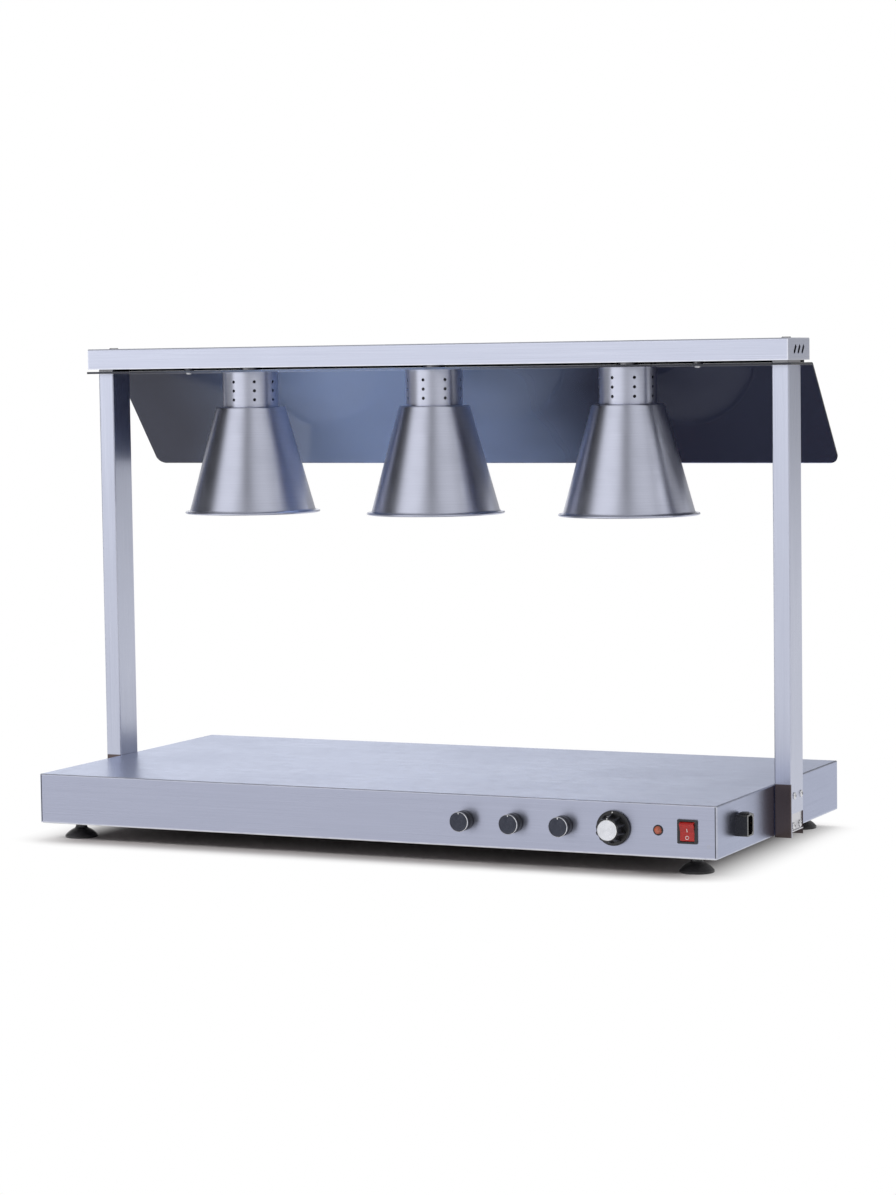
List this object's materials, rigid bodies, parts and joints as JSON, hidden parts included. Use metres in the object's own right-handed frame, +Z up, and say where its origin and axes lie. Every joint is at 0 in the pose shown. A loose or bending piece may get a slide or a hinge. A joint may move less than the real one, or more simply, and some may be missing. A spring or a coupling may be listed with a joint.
{
  "type": "heated buffet station",
  "caption": "Free-standing food warmer: heated steel plate with front controls, posts and a beam carrying infrared lamps in vented cone shades, with a bent tinted guard.",
  "frame": {"origin": "on the counter, at the middle of the footprint of the whole station", "axes": "+X to the operator's right along the beam, +Y away from the operator, +Z up"},
  "size_m": [1.065, 0.515, 0.682],
  "materials": {
    "brushed_steel": "brushed",
    "spun_steel": "spun and polished",
    "plain_steel": "mill finish",
    "fastener_steel": "satin",
    "mineral_wool": "soft, fibrous",
    "circuit_board": "satin",
    "black_plastic": "fine satin",
    "cap_metal": "spun",
    "dark_cap_metal": "spun, with a bright edge",
    "red_plastic": "gloss",
    "amber_plastic": "clear gloss",
    "brass": "bright",
    "cream_plastic": "satin",
    "foot_plastic": "satin",
    "spacer_metal": "matt",
    "tinted_sheet": "polished, smoke tint",
    "lamp_glass": "gloss, red coating",
    "porcelain": "glazed",
    "cable_cover": "satin"
  },
  "bodies": {
    "station": {"base_shell": "brushed_steel", "post_left": "brushed_steel", "post_right": "brushed_steel", "beam_shell": "brushed_steel", "beam_cover": "brushed_steel", "end_cap_left": "brushed_steel", "end_cap_right": "brushed_steel", "lamp_neck_left": "spun_steel", "lamp_neck_middle": "spun_steel", "lamp_neck_right": "spun_steel", "lamp_shade_left": "spun_steel", "lamp_shade_middle": "spun_steel", "lamp_shade_right": "spun_steel", "bottom_pan": "plain_steel", "foot_nuts": "plain_steel", "heating_element": "plain_steel", "element_clamps": "plain_steel", "heat_tray": "plain_steel", "post_anchors": "plain_steel", "thermostat": "plain_steel", "post_screws": "fastener_steel", "beam_bolts": "fastener_steel", "guard_screws": "fastener_steel", "insulation": "mineral_wool", "dimmer_modules": "circuit_board", "rocker_housing": "black_plastic", "indicator_housing": "black_plastic", "inlet_body": "black_plastic", "indicator_lens": "amber_plastic", "inlet_pins": "brass", "lamp_nipples": "brass", "terminal_block": "cream_plastic", "spacer_pads": "spacer_metal", "guard_panel": "tinted_sheet", "heat_lamp_left": "lamp_glass", "heat_lamp_middle": "lamp_glass", "heat_lamp_right": "lamp_glass", "lampholders": "porcelain", "wiring": "cable_cover"},
    "dial": {"thermostat_dial": "black_plastic", "dial_cap": "cap_metal", "thermostat_shaft": "plain_steel"},
    "knob_left": {"lamp_knob_left": "black_plastic", "knob_cap_left": "dark_cap_metal", "dimmer_shaft_left": "plain_steel"},
    "knob_middle": {"lamp_knob_middle": "black_plastic", "knob_cap_middle": "dark_cap_metal", "dimmer_shaft_middle": "plain_steel"},
    "knob_right": {"lamp_knob_right": "black_plastic", "knob_cap_right": "dark_cap_metal", "dimmer_shaft_right": "plain_steel"},
    "rocker": {"rocker_paddle": "red_plastic"},
    "foot_front_left": {"foot_front_left": "foot_plastic", "stud_front_left": "plain_steel"},
    "foot_front_right": {"foot_front_right": "foot_plastic", "stud_front_right": "plain_steel"},
    "foot_back_left": {"foot_back_left": "foot_plastic", "stud_back_left": "plain_steel"},
    "foot_back_right": {"foot_back_right": "foot_plastic", "stud_back_right": "plain_steel"}
  },
  "joints": [
    {"name": "dial_turn", "type": "hinge", "parent": "station", "child": "dial", "pos_m": [0.36, -0.2325, 0.0575], "axis": [0, 1, 0], "range_deg": [0, 300]},
    {"name": "knob_left_turn", "type": "hinge", "parent": "station", "child": "knob_left", "pos_m": [0.15, -0.2325, 0.0575], "axis": [0, 1, 0], "range_deg": [-150, 150]},
    {"name": "knob_middle_turn", "type": "hinge", "parent": "station", "child": "knob_middle", "pos_m": [0.22, -0.2325, 0.0575], "axis": [0, 1, 0], "range_deg": [-150, 150]},
    {"name": "knob_right_turn", "type": "hinge", "parent": "station", "child": "knob_right", "pos_m": [0.29, -0.2325, 0.0575], "axis": [0, 1, 0], "range_deg": [-150, 150]},
    {"name": "rocker_press", "type": "hinge", "parent": "station", "child": "rocker", "pos_m": [0.4605, -0.2305, 0.0575], "axis": [-1, 0, 0], "range_deg": [0, 20]},
    {"name": "foot_front_left_screw", "type": "slide", "parent": "station", "child": "foot_front_left", "axis": [0, 0, -1], "range_m": [0, 0.01]},
    {"name": "foot_front_right_screw", "type": "slide", "parent": "station", "child": "foot_front_right", "axis": [0, 0, -1], "range_m": [0, 0.01]},
    {"name": "foot_back_left_screw", "type": "slide", "parent": "station", "child": "foot_back_left", "axis": [0, 0, -1], "range_m": [0, 0.01]},
    {"name": "foot_back_right_screw", "type": "slide", "parent": "station", "child": "foot_back_right", "axis": [0, 0, -1], "range_m": [0, 0.01]}
  ]
}
